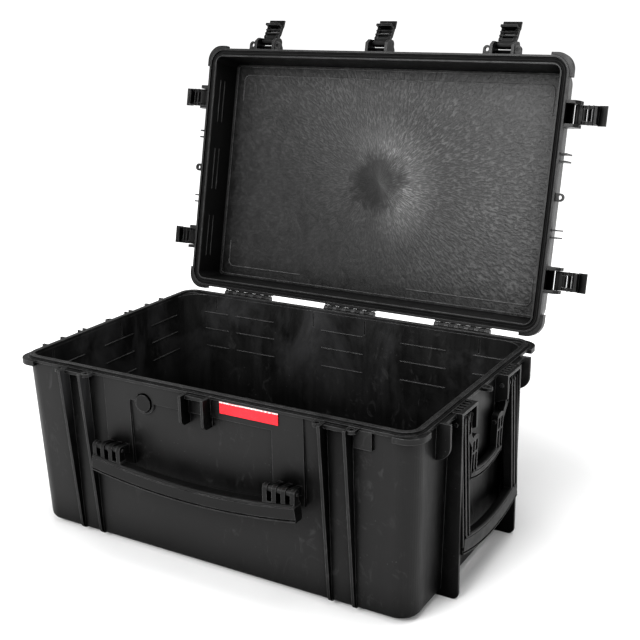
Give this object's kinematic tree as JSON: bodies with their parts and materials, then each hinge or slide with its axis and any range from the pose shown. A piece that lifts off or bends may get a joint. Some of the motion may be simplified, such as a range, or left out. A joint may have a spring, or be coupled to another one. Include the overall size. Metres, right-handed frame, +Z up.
{
  "type": "hard equipment case",
  "caption": "Large black wheeled hard case, lid standing open, with lever latches, a wide front handle and nested end handles.",
  "frame": {"origin": "on the floor, under the centre of the base", "axes": "+X along the width towards the tow handle, +Y from the front handle to the hinges, +Z up"},
  "size_m": [0.9626, 0.7621, 0.9171],
  "materials": {
    "base_plastic": "satin black moulded polypropylene",
    "lid_plastic": "satin black moulded polypropylene",
    "latch_plastic": "satin black glass-filled nylon",
    "handle_plastic": "satin black glass-filled nylon",
    "gasket_rubber": "matte black foam rubber",
    "pin_steel": "plain drawn steel",
    "tyre_rubber": "matte black rubber",
    "hub_plastic": "satin dark grey nylon",
    "valve_fabric": "white porous membrane",
    "label_red": "plain glossy red"
  },
  "bodies": {
    "base": {"base_shell": "base_plastic", "hinge_pins": "pin_steel", "front_handle_pins": "pin_steel", "end_handle_pins": "pin_steel", "wheel_axles": "pin_steel", "valve_cover": "handle_plastic", "valve_membrane": "valve_fabric", "valve_nut": "hub_plastic", "label_plate": "label_red"},
    "lid": {"lid_shell": "lid_plastic", "lid_gasket": "gasket_rubber", "latch_bracket_pins": "pin_steel"},
    "arm_front_left": {"latch_arm_front_left": "latch_plastic", "lever_pin_front_left": "pin_steel"},
    "lever_front_left": {"latch_lever_front_left": "latch_plastic"},
    "arm_front_middle": {"latch_arm_front_middle": "latch_plastic", "lever_pin_front_middle": "pin_steel"},
    "lever_front_middle": {"latch_lever_front_middle": "latch_plastic"},
    "arm_front_right": {"latch_arm_front_right": "latch_plastic", "lever_pin_front_right": "pin_steel"},
    "lever_front_right": {"latch_lever_front_right": "latch_plastic"},
    "arm_right_front": {"latch_arm_right_front": "latch_plastic", "lever_pin_right_front": "pin_steel"},
    "lever_right_front": {"latch_lever_right_front": "latch_plastic"},
    "arm_right_back": {"latch_arm_right_back": "latch_plastic", "lever_pin_right_back": "pin_steel"},
    "lever_right_back": {"latch_lever_right_back": "latch_plastic"},
    "arm_left_front": {"latch_arm_left_front": "latch_plastic", "lever_pin_left_front": "pin_steel"},
    "lever_left_front": {"latch_lever_left_front": "latch_plastic"},
    "arm_left_back": {"latch_arm_left_back": "latch_plastic", "lever_pin_left_back": "pin_steel"},
    "lever_left_back": {"latch_lever_left_back": "latch_plastic"},
    "front_handle": {"front_handle": "handle_plastic"},
    "tow_handle": {"tow_handle": "handle_plastic"},
    "carry_handle": {"carry_handle": "handle_plastic"},
    "wheel_front": {"wheel_tyre_front": "tyre_rubber", "wheel_hub_front": "hub_plastic"},
    "wheel_back": {"wheel_tyre_back": "tyre_rubber", "wheel_hub_back": "hub_plastic"}
  },
  "joints": [
    {"name": "lid_hinge", "type": "hinge", "parent": "base", "child": "lid", "pos_m": [0, 0.271, 0.34], "axis": [1, 0, 0], "range_deg": [0, 102.8]},
    {"name": "arm_front_left", "type": "hinge", "parent": "lid", "child": "arm_front_left", "pos_m": [-0.27, 0.4155, 0.87221], "axis": [1, 0, 0], "range_deg": [0, 112]},
    {"name": "lever_front_left", "type": "hinge", "parent": "arm_front_left", "child": "lever_front_left", "pos_m": [-0.27, 0.42292, 0.88289], "axis": [1, 0, 0], "range_deg": [-70, 0]},
    {"name": "arm_front_middle", "type": "hinge", "parent": "lid", "child": "arm_front_middle", "pos_m": [0, 0.4155, 0.87221], "axis": [1, 0, 0], "range_deg": [0, 112]},
    {"name": "lever_front_middle", "type": "hinge", "parent": "arm_front_middle", "child": "lever_front_middle", "pos_m": [0, 0.42292, 0.88289], "axis": [1, 0, 0], "range_deg": [-70, 0]},
    {"name": "arm_front_right", "type": "hinge", "parent": "lid", "child": "arm_front_right", "pos_m": [0.27, 0.4155, 0.87221], "axis": [1, 0, 0], "range_deg": [0, 112]},
    {"name": "lever_front_right", "type": "hinge", "parent": "arm_front_right", "child": "lever_front_right", "pos_m": [0.27, 0.42292, 0.88289], "axis": [1, 0, 0], "range_deg": [-70, 0]},
    {"name": "arm_right_front", "type": "hinge", "parent": "lid", "child": "arm_right_front", "pos_m": [0.426, 0.38803, 0.75129], "axis": [0, -0.2215, -0.9751], "range_deg": [-22, 90]},
    {"name": "lever_right_front", "type": "hinge", "parent": "arm_right_front", "child": "lever_right_front", "pos_m": [0.439, 0.38803, 0.75129], "axis": [0, -0.2215, -0.9751], "range_deg": [-70, 0]},
    {"name": "arm_right_back", "type": "hinge", "parent": "lid", "child": "arm_right_back", "pos_m": [0.426, 0.31891, 0.44705], "axis": [0, -0.2215, -0.9751], "range_deg": [-22, 90]},
    {"name": "lever_right_back", "type": "hinge", "parent": "arm_right_back", "child": "lever_right_back", "pos_m": [0.439, 0.31891, 0.44705], "axis": [0, -0.2215, -0.9751], "range_deg": [-70, 0]},
    {"name": "arm_left_front", "type": "hinge", "parent": "lid", "child": "arm_left_front", "pos_m": [-0.426, 0.38803, 0.75129], "axis": [0, 0.2215, 0.9751], "range_deg": [-22, 90]},
    {"name": "lever_left_front", "type": "hinge", "parent": "arm_left_front", "child": "lever_left_front", "pos_m": [-0.439, 0.38803, 0.75129], "axis": [0, 0.2215, 0.9751], "range_deg": [-70, 0]},
    {"name": "arm_left_back", "type": "hinge", "parent": "lid", "child": "arm_left_back", "pos_m": [-0.426, 0.31891, 0.44705], "axis": [0, 0.2215, 0.9751], "range_deg": [-22, 90]},
    {"name": "lever_left_back", "type": "hinge", "parent": "arm_left_back", "child": "lever_left_back", "pos_m": [-0.439, 0.31891, 0.44705], "axis": [0, 0.2215, 0.9751], "range_deg": [-70, 0]},
    {"name": "front_handle_lift", "type": "hinge", "parent": "base", "child": "front_handle", "pos_m": [0, -0.29, 0.213], "axis": [-1, 0, 0], "range_deg": [0, 90]},
    {"name": "tow_handle_lift", "type": "hinge", "parent": "base", "child": "tow_handle", "pos_m": [0.416, 0, 0.316], "axis": [0, -1, 0], "range_deg": [0, 90]},
    {"name": "carry_handle_lift", "type": "hinge", "parent": "base", "child": "carry_handle", "pos_m": [0.416, 0, 0.316], "axis": [0, -1, 0], "range_deg": [0, 90]},
    {"name": "wheel_front_spin", "type": "hinge", "parent": "base", "child": "wheel_front", "pos_m": [-0.406, -0.10075, 0.042], "axis": [0, 1, 0], "continuous": true},
    {"name": "wheel_back_spin", "type": "hinge", "parent": "base", "child": "wheel_back", "pos_m": [-0.406, 0.10075, 0.042], "axis": [0, 1, 0], "continuous": true}
  ]
}
